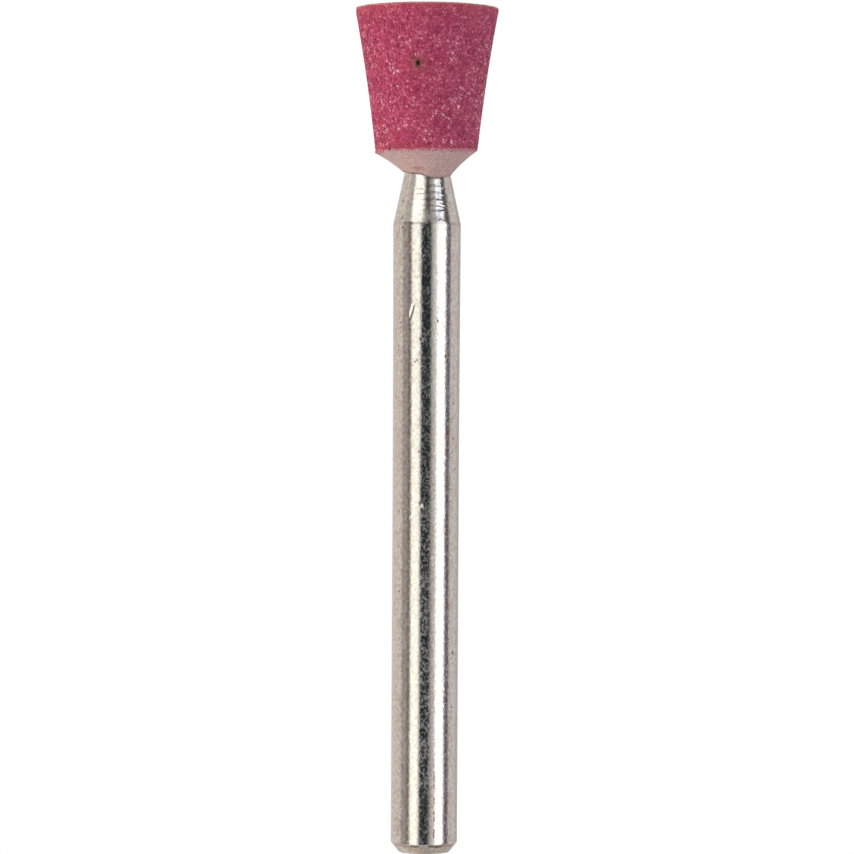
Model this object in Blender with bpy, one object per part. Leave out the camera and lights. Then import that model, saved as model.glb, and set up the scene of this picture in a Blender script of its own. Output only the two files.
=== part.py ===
"""A mounted point: an inverted cone of bonded abrasive, cemented on the knurled spigot of a turned steel shank.

It stands on the flat face of its head, as it would on a bench: the frame's origin is the centre of that face,
and +Z runs up the axis to the shank's end. Sizes are in metres and angles in radians.
"""

import math

import bmesh
import bpy
from mathutils import Vector

# Shank, turned from one bar
SHANK_DIAMETER = 0.003175
SHANK_LENGTH = 0.03024
END_CHAMFER_HEIGHT = 0.0005
END_CHAMFER_DEPTH = 0.00039
TAPER_LENGTH = 0.0033

# The shank's shoulder is eased over its last stretch, and a fine edge is left where the taper begins
EASE_LENGTH = 0.00024
EASE_DEPTH = 0.000025
EASE_RADIUS = 0.003

# Spigot of the shank, inside the head
SPIGOT_DIAMETER = 0.00176
SPIGOT_LENGTH = 0.0043
SPIGOT_TIP_CHAMFER = 0.0002
KNURL_LAND = 0.0005
KNURL_DEPTH = 0.00007
KNURL_TEETH = 24

# Abrasive head
HEAD_HEIGHT = 0.00683
HEAD_FOOT_DIAMETER = 0.0049
HEAD_FACE_DIAMETER = 0.00683
HEAD_EDGE_RADIUS = 0.0001
BORE_END_HEIGHT = 0.0002

# Cement, cast round the spigot and run out into a collar above the head
CEMENT_THICKNESS = 0.00018
CEMENT_CAP_THICKNESS = 0.00025
COLLAR_HEIGHT = 0.00115
COLLAR_LIP = 0.00006
COLLAR_EDGE_HEIGHT = 0.00003
COLLAR_HOLLOW = 0.00006

# Gap kept between solids that are bonded on the real point
BOND_GAP = 0.00002

# How finely round shapes are drawn
SEGMENTS = 2 * KNURL_TEETH
CORNER_STEPS = 5
WELD_DISTANCE = 1e-7

SHANK_RADIUS = SHANK_DIAMETER / 2
SHOULDER_RADIUS = SHANK_RADIUS - EASE_DEPTH
SPIGOT_RADIUS = SPIGOT_DIAMETER / 2
BORE_RADIUS = SPIGOT_RADIUS + CEMENT_THICKNESS
HEAD_FOOT_RADIUS = HEAD_FOOT_DIAMETER / 2
HEAD_FACE_RADIUS = HEAD_FACE_DIAMETER / 2
TAPER_SLOPE = (SHOULDER_RADIUS - SPIGOT_RADIUS) / TAPER_LENGTH

# Heights along the axis, above the face of the head
SHOULDER_HEIGHT = HEAD_HEIGHT + TAPER_LENGTH
END_HEIGHT = SHOULDER_HEIGHT + SHANK_LENGTH
SPIGOT_TIP_HEIGHT = HEAD_HEIGHT - SPIGOT_LENGTH
BORE_BOTTOM_HEIGHT = SPIGOT_TIP_HEIGHT - CEMENT_CAP_THICKNESS
COLLAR_TOP_HEIGHT = HEAD_HEIGHT + COLLAR_HEIGHT

# The knurl leaves a plain land at each end, and its rows lie about as far apart as its columns
KNURL_LENGTH = SPIGOT_LENGTH - SPIGOT_TIP_CHAMFER - 2 * KNURL_LAND
KNURL_ROWS = round(KNURL_LENGTH / (2 * math.pi * SPIGOT_RADIUS / SEGMENTS))
KNURL_ROW_HEIGHT = KNURL_LENGTH / KNURL_ROWS
KNURL_TOP_HEIGHT = HEAD_HEIGHT - KNURL_LAND


def taper_radius(height):
    """Radius of the shank's tapered neck at a height."""
    return SPIGOT_RADIUS + (height - HEAD_HEIGHT) * TAPER_SLOPE


def rounded(before, corner, after, radius):
    """Points of the arc that rounds the corner between two other points of a profile."""
    before, corner, after = Vector(before), Vector(corner), Vector(after)
    back = (before - corner).normalized()
    ahead = (after - corner).normalized()
    half_angle = back.angle(ahead) / 2
    centre = corner + (back + ahead).normalized() * radius / math.sin(half_angle)
    start = corner + back * radius / math.tan(half_angle) - centre
    end = corner + ahead * radius / math.tan(half_angle) - centre
    sweep = -start.angle_signed(end)
    first = math.atan2(start.y, start.x)
    angles = [first + sweep * step / CORNER_STEPS for step in range(CORNER_STEPS + 1)]
    return [tuple(centre + radius * Vector((math.cos(a), math.sin(a)))) for a in angles]


def hollowed(start, end, depth):
    """Points from start to end of a shallow curve that sinks to the right of that way by a depth."""
    start, end = Vector(start), Vector(end)
    along = end - start
    inwards = Vector((along.y, -along.x)).normalized()
    shares = [step / CORNER_STEPS for step in range(CORNER_STEPS + 1)]
    return [tuple(start + along * t + inwards * 4 * depth * t * (1 - t)) for t in shares]


def spun(profile):
    """The closed mesh of a profile of (radius, height) points that starts and ends on the axis."""
    mesh = bmesh.new()
    points = [mesh.verts.new((radius, 0, height)) for radius, height in profile]
    edges = [mesh.edges.new(pair) for pair in zip(points, points[1:])]
    bmesh.ops.spin(
        mesh, geom=points + edges, cent=(0, 0, 0), axis=(0, 0, 1), angle=2 * math.pi, steps=SEGMENTS
    )
    bmesh.ops.remove_doubles(mesh, verts=mesh.verts, dist=WELD_DISTANCE)
    bmesh.ops.recalc_face_normals(mesh, faces=mesh.faces)
    return mesh


def knurl_rows(crest_radius):
    """Profile points at the rows of the knurled band, on its crest radius and from the top down."""
    rows = range(KNURL_ROWS + 1)
    return [(crest_radius, KNURL_TOP_HEIGHT - row * KNURL_ROW_HEIGHT) for row in rows]


def press_knurl(mesh, crest_radius):
    """Presses every second point inside the band inwards, which leaves pyramids between crossed grooves."""
    pressed = set()
    for vert in mesh.verts:
        row = (KNURL_TOP_HEIGHT - vert.co.z) / KNURL_ROW_HEIGHT
        on_crest = abs(vert.co.xy.length - crest_radius) < BOND_GAP / 2
        if not on_crest or not 0.5 < row < KNURL_ROWS - 0.5:
            continue
        column = math.atan2(vert.co.y, vert.co.x) / (2 * math.pi / SEGMENTS)
        if (round(row) + round(column)) % 2:
            vert.co.xy *= 1 - KNURL_DEPTH / crest_radius
            pressed.add(vert)
    grooves = []
    for face in mesh.faces:
        low = [vert for vert in face.verts if vert in pressed]
        if len(face.verts) == 4 and len(low) == 2:
            grooves.append(low)
    for low in grooves:
        bmesh.ops.connect_verts(mesh, verts=low)


def place(name, mesh, material):
    """Puts a mesh in the scene as a smooth shaded object with one material."""
    data = bpy.data.meshes.new(name)
    mesh.to_mesh(data)
    mesh.free()
    data.shade_smooth()
    data.set_sharp_from_angle(angle=math.radians(30))
    data.materials.append(material)
    bpy.context.scene.collection.objects.link(bpy.data.objects.new(name, data))


def surface(name, color, roughness, metallic=0.0):
    """A Principled BSDF material in one linear colour."""
    material = bpy.data.materials.new(name)
    material.use_nodes = True
    shader = material.node_tree.nodes["Principled BSDF"]
    shader.inputs["Base Color"].default_value = (*color, 1)
    shader.inputs["Roughness"].default_value = roughness
    shader.inputs["Metallic"].default_value = metallic
    return material


def make_shank():
    """The steel bar: chamfered end, straight shank, tapered neck and knurled spigot."""
    end_chamfer = (SHANK_RADIUS, END_HEIGHT - END_CHAMFER_HEIGHT)
    ease_top = (SHANK_RADIUS, SHOULDER_HEIGHT + EASE_LENGTH)
    shoulder = (SHOULDER_RADIUS, SHOULDER_HEIGHT)
    profile = [
        (0, END_HEIGHT),
        (SHANK_RADIUS - END_CHAMFER_DEPTH, END_HEIGHT),
        end_chamfer,
        *rounded(end_chamfer, ease_top, shoulder, EASE_RADIUS),
        shoulder,
        (SPIGOT_RADIUS, HEAD_HEIGHT),
        *knurl_rows(SPIGOT_RADIUS),
        (SPIGOT_RADIUS, SPIGOT_TIP_HEIGHT + SPIGOT_TIP_CHAMFER),
        (SPIGOT_RADIUS - SPIGOT_TIP_CHAMFER, SPIGOT_TIP_HEIGHT),
        (0, SPIGOT_TIP_HEIGHT),
    ]
    mesh = spun(profile)
    press_knurl(mesh, SPIGOT_RADIUS)
    place("shank", mesh, surface("bright_steel", (0.56, 0.51, 0.45), 0.3, metallic=1.0))


def make_cement():
    """The cement: a thin sleeve that fills the bore round the spigot, and the pale collar above the head."""
    inner_radius = SPIGOT_RADIUS + BOND_GAP
    outer_radius = BORE_RADIUS - BOND_GAP
    seat_height = HEAD_HEIGHT + BOND_GAP
    tip_height = SPIGOT_TIP_HEIGHT - BOND_GAP
    cap_height = BORE_BOTTOM_HEIGHT + BOND_GAP
    lip_radius = taper_radius(COLLAR_TOP_HEIGHT) + BOND_GAP
    lip = (lip_radius + COLLAR_LIP, COLLAR_TOP_HEIGHT)
    edge = (HEAD_FOOT_RADIUS, seat_height + COLLAR_EDGE_HEIGHT)
    profile = [
        (0, tip_height),
        (inner_radius - SPIGOT_TIP_CHAMFER, tip_height),
        (inner_radius, tip_height + SPIGOT_TIP_CHAMFER),
        *reversed(knurl_rows(inner_radius)),
        (inner_radius, HEAD_HEIGHT),
        (lip_radius, COLLAR_TOP_HEIGHT),
        *hollowed(lip, edge, COLLAR_HOLLOW),
        (HEAD_FOOT_RADIUS, seat_height),
        (outer_radius, seat_height),
        (outer_radius, cap_height + BORE_END_HEIGHT),
        (0, cap_height),
    ]
    mesh = spun(profile)
    press_knurl(mesh, inner_radius)
    place("cement_collar", mesh, surface("pale_cement", (0.46, 0.34, 0.3), 0.9))


def make_head():
    """The abrasive head: an inverted cone with a blind bore, its rim barely rounded."""
    foot_edge = (HEAD_FOOT_RADIUS, HEAD_HEIGHT)
    rim = (HEAD_FACE_RADIUS, 0)
    profile = [
        (0, BORE_BOTTOM_HEIGHT),
        (BORE_RADIUS, BORE_BOTTOM_HEIGHT + BORE_END_HEIGHT),
        (BORE_RADIUS, HEAD_HEIGHT),
        foot_edge,
        *rounded(foot_edge, rim, (0, 0), HEAD_EDGE_RADIUS),
        (0, 0),
    ]
    place("grinding_head", spun(profile), surface("pink_abrasive", (0.4, 0.066, 0.118), 0.95))


for leftover in list(bpy.data.objects):
    bpy.data.objects.remove(leftover)

make_shank()
make_cement()
make_head()
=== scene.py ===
import math

import bmesh
import bpy
from mathutils import Matrix, Vector, noise


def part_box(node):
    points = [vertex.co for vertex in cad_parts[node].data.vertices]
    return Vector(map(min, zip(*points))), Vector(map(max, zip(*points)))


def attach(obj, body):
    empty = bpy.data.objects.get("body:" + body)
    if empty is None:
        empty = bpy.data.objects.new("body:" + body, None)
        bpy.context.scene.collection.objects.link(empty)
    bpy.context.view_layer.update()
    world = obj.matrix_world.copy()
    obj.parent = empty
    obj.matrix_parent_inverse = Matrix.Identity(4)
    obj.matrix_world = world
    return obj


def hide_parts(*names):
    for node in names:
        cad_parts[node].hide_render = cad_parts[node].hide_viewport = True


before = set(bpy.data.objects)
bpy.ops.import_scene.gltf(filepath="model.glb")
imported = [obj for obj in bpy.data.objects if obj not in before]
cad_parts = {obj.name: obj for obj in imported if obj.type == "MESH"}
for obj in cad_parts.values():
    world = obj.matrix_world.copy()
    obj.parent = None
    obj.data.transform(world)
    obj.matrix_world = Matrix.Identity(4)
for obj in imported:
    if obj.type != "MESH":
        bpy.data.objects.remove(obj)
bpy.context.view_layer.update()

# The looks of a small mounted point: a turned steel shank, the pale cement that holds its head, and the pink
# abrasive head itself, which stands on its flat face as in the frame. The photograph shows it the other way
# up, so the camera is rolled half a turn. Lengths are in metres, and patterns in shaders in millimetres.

MM = 0.001

# Heights above the face of the head, and radii, as the frame has them
SHANK_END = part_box("shank")[1].z
HEAD_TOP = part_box("grinding_head")[1].z
COLLAR_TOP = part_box("cement_collar")[1].z
COLLAR_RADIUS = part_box("cement_collar")[1].x
SHANK_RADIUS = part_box("shank")[1].x
SHOULDER_HEIGHT = 10.27 * MM
SHOULDER_RADIUS = SHANK_RADIUS - 0.008 * MM
EASE_LENGTH = 0.12 * MM
SPIGOT_RADIUS = 0.88 * MM
BORE_RADIUS = 1.06 * MM
BORE_BOTTOM = 2.28 * MM
BORE_CHAMFER = 0.2 * MM
END_CHAMFER_HEIGHT = 0.47 * MM
END_CHAMFER_DEPTH = 0.37 * MM
BOND_GAP = 0.02 * MM
SLEEVE_RADIUS = BORE_RADIUS - BOND_GAP
SEAT_HEIGHT = HEAD_TOP + BOND_GAP
WELD = 1e-7
SHARP_ANGLE = math.radians(35)

# Points in a ring: of the frame's nodes, and of the fine shank, cement and stone made here
NODE_POINTS = 48
FINE_POINTS = 288
STONE_POINTS = 360


# Shader and geometry maths


def operator(operation, swapped=False):
    """A method of Value that makes the Math node of it and another value."""

    def method(self, other):
        pair = (other, self) if swapped else (self, other)
        return self.math(operation, *pair)

    return method


class Value:
    """A socket of a node tree, with the operators that the maths here is written in."""

    __add__ = __radd__ = operator("ADD")
    __sub__ = operator("SUBTRACT")
    __rsub__ = operator("SUBTRACT", swapped=True)
    __mul__ = __rmul__ = operator("MULTIPLY")
    __truediv__ = operator("DIVIDE")
    __rtruediv__ = operator("DIVIDE", swapped=True)
    __pow__ = operator("POWER")
    __gt__ = operator("GREATER_THAN")
    least = operator("MINIMUM")
    most = operator("MAXIMUM")

    def __init__(self, tree, socket):
        self.tree = tree
        self.socket = socket

    def math(self, operation, *values):
        """The Math node of that operation on one or two values."""
        return make(self.tree, "ShaderNodeMath", {"operation": operation}, dict(enumerate(values)))

    def size(self):
        """The value without its sign."""
        return self.math("ABSOLUTE", self)


def make(tree, kind, settings=None, sockets=None, out=0):
    """A node of that kind in a tree, its settings made before its sockets; returns one of its outputs."""
    node = tree.nodes.new(kind)
    for name, value in (settings or {}).items():
        if name == "stops":
            lay_stops(node.color_ramp, value)
        else:
            setattr(node, name, value)
    for name, value in (sockets or {}).items():
        if isinstance(value, Value):
            tree.links.new(value.socket, node.inputs[name])
        else:
            node.inputs[name].default_value = value
    return Value(tree, node.outputs[out]) if len(node.outputs) else node


def lay_stops(band, stops):
    """Gives a colour ramp's band its (position, colour) stops, where a plain number is a grey."""
    while len(band.elements) > 1:
        band.elements.remove(band.elements[0])
    for index, (position, color) in enumerate(stops):
        element = band.elements[0] if index == 0 else band.elements.new(position)
        element.position = position
        element.color = (*color, 1) if isinstance(color, tuple) else (color, color, color, 1)


def blend(mask, low, high):
    """The colour low where the mask is 0, and high where it is 1."""
    tree = mask.tree
    ends = [(*end, 1) if isinstance(end, tuple) else end for end in (low, high)]
    return make(tree, "ShaderNodeMix", {"data_type": "RGBA"}, {0: mask, 6: ends[0], 7: ends[1]}, out=2)


def layered(tone, *layers):
    """A tone with (mask, colour) layers laid over it, each where its mask is 1."""
    for mask, color in layers:
        tone = blend(mask, tone, color)
    return tone


def ramp(value, *stops):
    """A colour ramp over a value from 0 to 1."""
    return make(value.tree, "ShaderNodeValToRGB", {"stops": stops}, {"Fac": value})


def spread(value, low, high, start=0.0, end=1.0):
    """Takes low..high of a value to start..end, smoothly and no further."""
    return make(
        value.tree,
        "ShaderNodeMapRange",
        {"interpolation_type": "SMOOTHSTEP"},
        {"Value": value, "From Min": low, "From Max": high, "To Min": start, "To Max": end},
    )


def mapped(place, shift, size):
    """A place stretched by a size along each axis and then shifted."""
    return make(place.tree, "ShaderNodeMapping", None, {"Vector": place, "Location": shift, "Scale": size})


def grain_noise(place, scale, detail=3.0, roughness=0.5, stretch=(1.0, 1.0, 1.0), shift=(0.0, 0.0, 0.0)):
    """Noise over a place in millimetres, with a scale in waves to the millimetre along each axis."""
    at = mapped(place, shift, tuple(scale * share for share in stretch))
    sockets = {"Vector": at, "Scale": 1.0, "Detail": detail, "Roughness": roughness}
    return make(place.tree, "ShaderNodeTexNoise", None, sockets)


def noise_mask(place, scale, low, high, **kind):
    """A mask of noise that is 0 where it is below low and 1 where it is above high."""
    return spread(grain_noise(place, scale, **kind), low, high)


def apart(place):
    """The three numbers of a place."""
    split = place.tree.nodes.new("ShaderNodeSeparateXYZ")
    place.tree.links.new(place.socket, split.inputs[0])
    return [Value(place.tree, socket) for socket in split.outputs]


def vector_math(operation, vector, sockets=None, out=0):
    """A Vector Math node on a vector, with the values of its other sockets."""
    sockets = {0: vector, **(sockets or {})}
    return make(vector.tree, "ShaderNodeVectorMath", {"operation": operation}, sockets, out)


def scaled(vector, amount):
    """A vector times a number."""
    return vector_math("SCALE", vector, {"Scale": amount})


def spot(place, centre, size):
    """A mask that is 1 at a point in millimetres and fades to 0 at a (width, depth, height) round it."""
    scale = tuple(1 / length for length in size)
    offset = tuple(-point * share for point, share in zip(centre, scale))
    away = vector_math("LENGTH", mapped(place, offset, scale), out=1)
    return spread(away, 1.0, 0.35)


def ragged(place, scale, amount):
    """A place in millimetres, moved about by noise, for marks with uneven outlines."""
    sockets = {"Vector": scaled(place, scale), "Scale": 1.0, "Detail": 2.0}
    drift = make(place.tree, "ShaderNodeTexNoise", None, sockets, out=1)
    drift = vector_math("SUBTRACT", drift, {1: (0.5, 0.5, 0.5)})
    return vector_math("ADD", place, {1: scaled(drift, amount)})


def new_material(name):
    """An empty material, and the place of the shaded point in millimetres."""
    material = bpy.data.materials.new(name)
    material.use_nodes = True
    tree = material.node_tree
    tree.nodes.clear()
    return material, scaled(make(tree, "ShaderNodeTexCoord", out=3), 1 / MM)


def finish_material(tree, **sockets):
    """Ends a material's tree in a Principled BSDF with the sockets given, their names with _ for a space."""
    named = {name.replace("_", " "): value for name, value in sockets.items()}
    shader = make(tree, "ShaderNodeBsdfPrincipled", None, named)
    make(tree, "ShaderNodeOutputMaterial", None, {"Surface": shader})


def bumped(height, depth):
    """A normal for a height from 0 to 1 that stands for a depth in millimetres."""
    sockets = {"Height": height, "Strength": 1.0, "Distance": depth * MM}
    return make(height.tree, "ShaderNodeBump", None, sockets)


# Where a mark is: its height, and its turn in degrees from the camera's side to the photograph's right


def turned_point(angle, height, radius):
    """A point of the frame by its turn in degrees, its height and its radius."""
    turn = math.radians(angle)
    return Vector((-radius * math.sin(turn), -radius * math.cos(turn), height))


def spot_at(place, turn, height, radius, size):
    """A spot mask of a size in millimetres, at a turn, height and radius of the point."""
    return spot(place, tuple(turned_point(turn, height, radius) / MM), size)


def turn_of(point):
    """The turn in degrees of a point of the frame, 0 at the camera's side."""
    return math.degrees(math.atan2(-point.x, -point.y))


# Turned meshes


def circle(mesh, radius, height, count):
    """A ring of points, or one point on the axis where the count is 1."""
    if count == 1:
        return [mesh.verts.new((0, 0, height))]
    turns = [2 * math.pi * step / count for step in range(count)]
    return [mesh.verts.new((radius * math.cos(t), radius * math.sin(t), height)) for t in turns]


def join(mesh, one, other):
    """Faces between two rings, where one has the same number of points as the other or some times as many."""
    few, many = sorted((one, other), key=len)
    share = len(many) // len(few)
    for index, point in enumerate(few):
        after = few[(index + 1) % len(few)]
        fan = [many[(index * share + step) % len(many)] for step in range(share + 1)]
        if share == 1:
            mesh.faces.new((point, fan[0], fan[1], after))
            continue
        for near, far in zip(fan, fan[1:]):
            mesh.faces.new((point, near, far))
        if len(few) > 1:
            mesh.faces.new((point, fan[-1], after))


def turned(mesh, rings, first=None, last=None):
    """Adds the skin through (radius, height, count) rings, from and to ready rings of points if given."""
    loops = [circle(mesh, *ring) for ring in rings]
    if first:
        loops.insert(0, first)
    if last:
        loops.append(last)
    for one, other in zip(loops, loops[1:]):
        join(mesh, one, other)


def steps(start, end, pitch):
    """Evenly spaced numbers from start to end, both in, about a pitch apart."""
    count = max(1, round(abs(end - start) / pitch))
    return [start + (end - start) * step / count for step in range(count + 1)]


def line(start, end, pitch, count):
    """Rings along a straight (radius, height) line, all but the last."""
    length = math.dist(start, end)
    shares = [at / length for at in steps(0, length, pitch)[:-1]]
    return [(start[0] + (end[0] - start[0]) * t, start[1] + (end[1] - start[1]) * t, count) for t in shares]


def node_copy(name):
    """The merged mesh of a node of the frame."""
    mesh = bmesh.new()
    mesh.from_mesh(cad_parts[name].data)
    bmesh.ops.remove_doubles(mesh, verts=mesh.verts, dist=WELD)
    return mesh


def cut_away(mesh, unwanted):
    """Takes away the points that a test picks, with their faces."""
    bmesh.ops.delete(mesh, geom=[vert for vert in mesh.verts if unwanted(vert.co)], context="VERTS")


def ring_at(mesh, radius, height):
    """The ring of points at a radius and height, in order round the axis from +X."""
    level = [vert for vert in mesh.verts if abs(vert.co.z - height) < WELD * 20]
    near = [vert for vert in level if abs(vert.co.xy.length - radius) < WELD * 20]
    assert len(near) == NODE_POINTS, (len(near), radius, height)
    return sorted(near, key=lambda vert: round(math.atan2(vert.co.y, vert.co.x) % (2 * math.pi), 4))


def add_object(name, data):
    """Puts a mesh, lamp or camera in the scene as an object at the origin."""
    made = bpy.data.objects.new(name, data)
    bpy.context.scene.collection.objects.link(made)
    return made


def add_mesh(name, mesh, *materials):
    """Puts a mesh in the scene as an object with the materials given."""
    data = bpy.data.meshes.new(name)
    mesh.to_mesh(data)
    mesh.free()
    for material in materials:
        data.materials.append(material)
    return add_object(name, data)


def place_mesh(name, mesh, material):
    """Puts a mesh of the object in the scene, its faces smooth but for its sharp edges."""
    bmesh.ops.recalc_face_normals(mesh, faces=mesh.faces)
    made = add_mesh(name, mesh, material)
    made.data.shade_smooth()
    made.data.set_sharp_from_angle(angle=SHARP_ANGLE)
    return made


def keep_piece(made, slot, *nodes):
    """Hangs a finished object on the frame's root body so that it rides with the frame, and hides the nodes
    named.
    """
    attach(made, "root")
    if nodes:
        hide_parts(*nodes)


# Steel shank


# Tool marks on the neck: their edges in mm, and the turns where they are strong and where they are faint
RING_DEPTH = 0.0034 * MM
RING_EDGES = [7.0, 7.3, 7.6, 7.9, 8.25, 8.60, 8.93, 9.24, 9.50, 9.74, 10.25, 10.6]
STRONG_TURN = 46
FAINT_TURN = -17
FAINT_HALF_WIDTH = 13

# The crease at the shoulder, and how the bar swells towards it from each side
SHOULDER_GROOVE = 0.006 * MM
GROOVE_HALF_WIDTH = 0.04 * MM
SWELL = 0.034 * MM
SWELL_LENGTH = 12 * MM
NECK_SWELL_LENGTH = 3.4 * MM

# The parted end: its edges, the rings that the parting tool left and the dimple in its middle
EDGE_ROUNDING = 0.09 * MM
EDGE_BEVEL = 0.012 * MM
PARTING_DEPTH = 0.003 * MM
PARTING_PITCH = 0.11 * MM
DIMPLE_RADIUS = 0.07 * MM
DIMPLE_EDGE = 0.02 * MM
DIMPLE_DEPTH = 0.035 * MM

# How the shank's rings are spaced: the neck's hidden start, heights to reach and the pitches between, in mm
HIDDEN_NECK = 0.25 * MM
RING_MARKS = (11.4, 13.8, 16.3, 23.55, 23.95)
RING_PITCHES = (0.026, 0.03, 0.06, 0.2, 0.035, 0.4, 0.03, 0.4)

NECK_SCORES = [
    # first turn, last turn, height at each in mm, half width in mm, depth in mm
    (-29, -6, 8.66, 8.65, 0.045, 0.009),
    (-27, -8, 8.91, 8.86, 0.04, 0.006),
    (8, 58, 9.42, 9.60, 0.05, 0.013),
    (30, 64, 9.79, 9.83, 0.03, 0.006),
]
DENTS = [
    # turn, height in mm, half width and half height in mm, depth in mm, lean
    (-25.8, 14.49, 0.10, 0.46, 0.015, -0.3),
    (-7.6, 15.83, 0.13, 0.07, 0.013, 0.9),
    (18.8, 14.93, 0.06, 0.05, 0.008, 0.0),
    (52.0, 14.01, 0.16, 0.04, 0.006, 0.6),
    (1.5, 9.55, 0.05, 0.40, 0.006, -0.3),
    (-2.0, 10.85, 0.055, 0.5, 0.0045, 0.0),
    (-6.8, 23.74, 0.07, 0.07, 0.011, 0.3),
]


def neck_radius(height):
    """Radius of the shank's tapered neck at a height."""
    share = (height - HEAD_TOP) / (SHOULDER_HEIGHT - HEAD_TOP)
    return SPIGOT_RADIUS + (SHOULDER_RADIUS - SPIGOT_RADIUS) * share


def turning_marks(turn, height):
    """How deep the tool's marks are on the neck: hollows with sharp edges, stronger on one side."""
    at = height / MM
    around = math.radians(turn)
    drift = 0.05 * noise.noise(Vector((0, around * 1.4, at * 1.5)))
    at += drift + 0.055 * noise.noise(Vector((5, around * 5, at * 4)))
    low, high = next(pair for pair in zip(RING_EDGES, RING_EDGES[1:]) if at < pair[1])
    hollow = 1 - (2 * (at - low) / (high - low) - 1) ** 2
    strength = 0.35 + 0.8 * noise.noise(Vector((3, around * 1.2, at * 0.8)))
    strength *= 1 - 0.65 * math.exp(-(((turn - FAINT_TURN) / FAINT_HALF_WIDTH) ** 2))
    side = max(0.0, math.cos(around - math.radians(STRONG_TURN))) ** 4
    skin = Vector((math.sin(around), math.cos(around), at * 1.1))
    lumps = noise.noise(skin * 4.5) + 0.55 * noise.noise(skin * 9.5 + Vector((2, 4, at * 1.5)))
    return RING_DEPTH * (hollow * max(0.05, strength + 1.9 * side) + side * lumps)


def score_depth(turn, height):
    """How deep the few scores are that a chip has cut part of the way round the neck."""
    depth = 0
    for first, last, start, end, half_width, deep in NECK_SCORES:
        share = (turn - first) / (last - first)
        if 0 < share < 1:
            away = abs(height / MM - start - (end - start) * share) / half_width
            depth += deep * MM * max(0.0, 1 - away) * min(1.0, 6 * share, 6 * (1 - share))
    return depth


def dent_depth(point):
    """How far the shank's skin is pushed in at a point by its dents, with a low burr round each."""
    depth = 0
    for turn, height, half_width, half_height, deep, lean in DENTS:
        across = math.radians(turn_of(point) - turn) * SHANK_RADIUS / MM
        along = point.z / MM - height
        away = math.hypot((across - along * lean) / half_width, along / half_height)
        if away < 1:
            depth += deep * MM * (1 - away**2) ** 1.5
        elif away < 1.6:
            depth -= deep * MM * 0.12 * math.sin(math.pi * (away - 1) / 0.6)
    return depth


def wear_shank(vert):
    """Moves a point of the fine shank by the marks of turning and by dents."""
    height = vert.co.z
    turn = turn_of(vert.co)
    depth = 0
    if COLLAR_TOP - 0.2 * MM < height < SHOULDER_HEIGHT:
        depth = turning_marks(turn, height) + score_depth(turn, height)
    if height > COLLAR_TOP:
        depth += dent_depth(vert.co)
    away = abs(height - SHOULDER_HEIGHT)
    if away < GROOVE_HALF_WIDTH:
        strength = 0.6 + 0.6 * noise.noise(Vector((7, math.radians(turn) * 1.5, 0)))
        depth += SHOULDER_GROOVE * strength * (1 - away / GROOVE_HALF_WIDTH)
    reach = SWELL_LENGTH if height > SHOULDER_HEIGHT else NECK_SWELL_LENGTH
    depth -= SWELL * (1 - min(1.0, away / reach)) ** 1.5
    vert.co.xy *= 1 - depth / vert.co.xy.length


def make_shank(material):
    """The shank's skin from its end to the head's foot, on the node's own knurled spigot."""
    mesh = node_copy("shank")
    cut_away(mesh, lambda at: at.z > HEAD_TOP + WELD)
    spigot_top = ring_at(mesh, SPIGOT_RADIUS, HEAD_TOP)
    ready = set(mesh.verts)
    count = FINE_POINTS
    start = HEAD_TOP + 0.05 * MM
    chamfer = SHANK_END - END_CHAMFER_HEIGHT
    corners = [
        (neck_radius(COLLAR_TOP - HIDDEN_NECK), COLLAR_TOP - HIDDEN_NECK),
        (SHOULDER_RADIUS, SHOULDER_HEIGHT),
        (SHANK_RADIUS, SHOULDER_HEIGHT + EASE_LENGTH),
        *[(SHANK_RADIUS, height * MM) for height in RING_MARKS],
        (SHANK_RADIUS, chamfer),
    ]
    rings = [(neck_radius(start), start, count)]
    for low, high, pitch in zip(corners, corners[1:], RING_PITCHES):
        rings += line(low, high, pitch * MM, count)
    rings += end_rings(chamfer, count)
    turned(mesh, rings, first=spigot_top)
    for vert in mesh.verts:
        on_side = vert.co.xy.length > 0.8 * MM and vert.co.z < chamfer - 0.1 * MM
        if on_side and vert not in ready:
            wear_shank(vert)
    keep_piece(place_mesh("steel_shank", mesh, material), "bright_steel", "shank")


def end_rings(chamfer, count):
    """Rings of the shank's end from its chamfer on: rounded edge, chamfer, parted flat and dimple."""
    slope = math.atan2(END_CHAMFER_DEPTH, END_CHAMFER_HEIGHT)
    low = chamfer - EDGE_ROUNDING * math.tan(slope / 2)
    rings = [(SHANK_RADIUS, low, count)]
    for angle in steps(0, slope, slope / 4)[1:]:
        inwards = EDGE_ROUNDING * (1 - math.cos(angle))
        rings.append((SHANK_RADIUS - inwards, low + EDGE_ROUNDING * math.sin(angle), count))
    edge = SHANK_RADIUS - END_CHAMFER_DEPTH
    bevel = (edge + EDGE_BEVEL, SHANK_END - EDGE_BEVEL)
    rings += [
        *line(rings[-1][:2], bevel, 0.06 * MM, count)[1:],
        (*bevel, count),
        (edge - EDGE_BEVEL * 0.3, SHANK_END - EDGE_BEVEL * 0.1, count),
    ]
    for radius in steps(edge - EDGE_BEVEL * 2, 0.1 * MM, 0.05 * MM):
        share = 1 if radius > 0.6 * MM else 2 if radius > 0.3 * MM else 4
        parting = PARTING_DEPTH * math.sin(radius / PARTING_PITCH * math.pi)
        rings.append((radius, SHANK_END - PARTING_DEPTH + parting, count // share))
    dimple = [(DIMPLE_RADIUS, SHANK_END - DIMPLE_EDGE, count // 4), (0, SHANK_END - DIMPLE_DEPTH, 1)]
    return rings + dimple


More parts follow.
